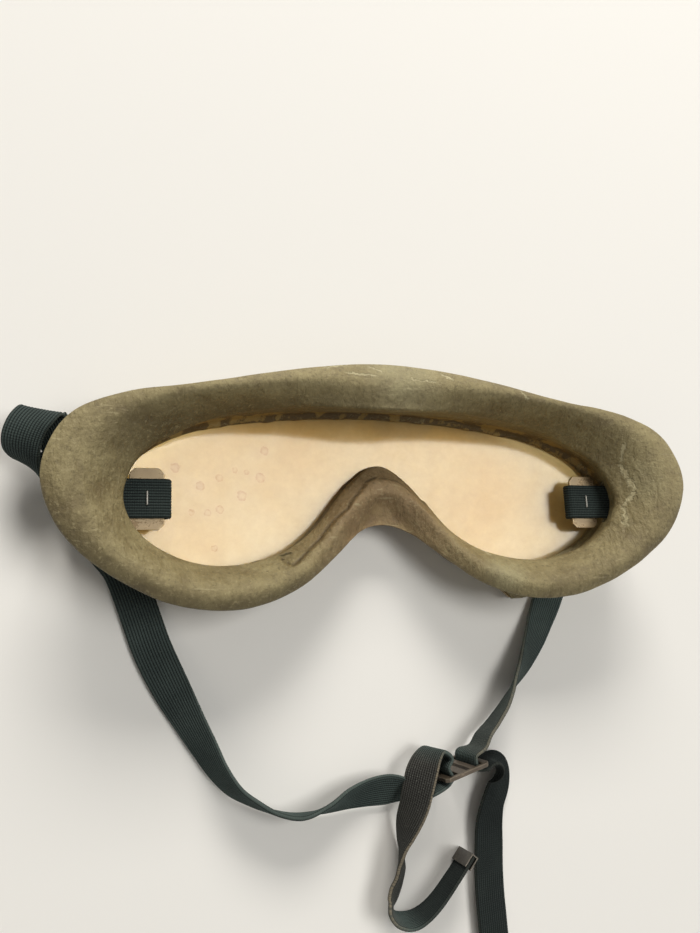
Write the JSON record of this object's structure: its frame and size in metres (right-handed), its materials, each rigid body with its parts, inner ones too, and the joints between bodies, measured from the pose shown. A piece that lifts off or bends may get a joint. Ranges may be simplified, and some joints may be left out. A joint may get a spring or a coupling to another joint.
{
  "type": "military goggles",
  "caption": "Rubber-framed military goggles with a curved clear lens held by snap tabs, and an adjustable webbing head strap with toggles and a slide buckle",
  "frame": {"origin": "on the plane that the front lip rests on, midway across the frame and at mid height of the face roll", "axes": "+X to the side that shows right when looking into the goggles from behind, +Y to the forehead, +Z from the lens to the face"},
  "size_m": [0.1965, 0.1731, 0.033],
  "materials": {
    "frame_rubber": "worn olive drab moulded rubber",
    "lens_sheet": "clear acetate sheet, yellowed, with faint ring stains",
    "tab_rubber": "moulded rubber, tan brown",
    "snap_metal": "dulled lacquered brass",
    "toggle_metal": "tan lacquered sheet steel, worn",
    "staple_wire": "bright drawn steel wire",
    "webbing": "woven elastic webbing, dark green grey, ribbed along its length",
    "buckle_metal": "dark brown japanned steel, worn at the edges",
    "tip_metal": "folded dark sheet metal"
  },
  "bodies": {
    "root": {"frame": "frame_rubber", "lens": "lens_sheet", "snap_studs": "snap_metal", "snap_eyelets": "snap_metal", "left_staple": "staple_wire", "right_staple": "staple_wire", "left_strap": "webbing", "right_strap": "webbing", "buckle": "buckle_metal", "left_strap_tip": "tip_metal", "right_strap_tip": "tip_metal"},
    "top_tab": {"top_snap_tab": "tab_rubber", "top_snap_cap": "snap_metal", "top_snap_socket": "snap_metal"},
    "left_tab": {"left_snap_tab": "tab_rubber", "left_snap_cap": "snap_metal", "left_snap_socket": "snap_metal"},
    "right_tab": {"right_snap_tab": "tab_rubber", "right_snap_cap": "snap_metal", "right_snap_socket": "snap_metal"},
    "left_toggle": {"left_toggle": "toggle_metal"},
    "right_toggle": {"right_toggle": "toggle_metal"}
  },
  "joints": [
    {"name": "top_tab_hinge", "type": "hinge", "parent": "root", "child": "top_tab", "pos_m": [0.012, 0.03303, 0.0027], "axis": [1, 0, 0], "range_deg": [0, 80], "stiffness_Nm_per_rad": 0.004},
    {"name": "left_tab_hinge", "type": "hinge", "parent": "root", "child": "left_tab", "pos_m": [-0.0467, -0.03353, 0.0039], "axis": [-0.9939, 0, 0.11], "range_deg": [0, 80], "stiffness_Nm_per_rad": 0.004},
    {"name": "right_tab_hinge", "type": "hinge", "parent": "root", "child": "right_tab", "pos_m": [0.0467, -0.03353, 0.0039], "axis": [-0.9939, 0, -0.11], "range_deg": [0, 80], "stiffness_Nm_per_rad": 0.004},
    {"name": "left_toggle_slide", "type": "slide", "parent": "root", "child": "left_toggle", "axis": [0, 1, 0], "range_m": [-0.001, 0.001]},
    {"name": "right_toggle_slide", "type": "slide", "parent": "root", "child": "right_toggle", "axis": [0, 1, 0], "range_m": [-0.001, 0.001]}
  ]
}
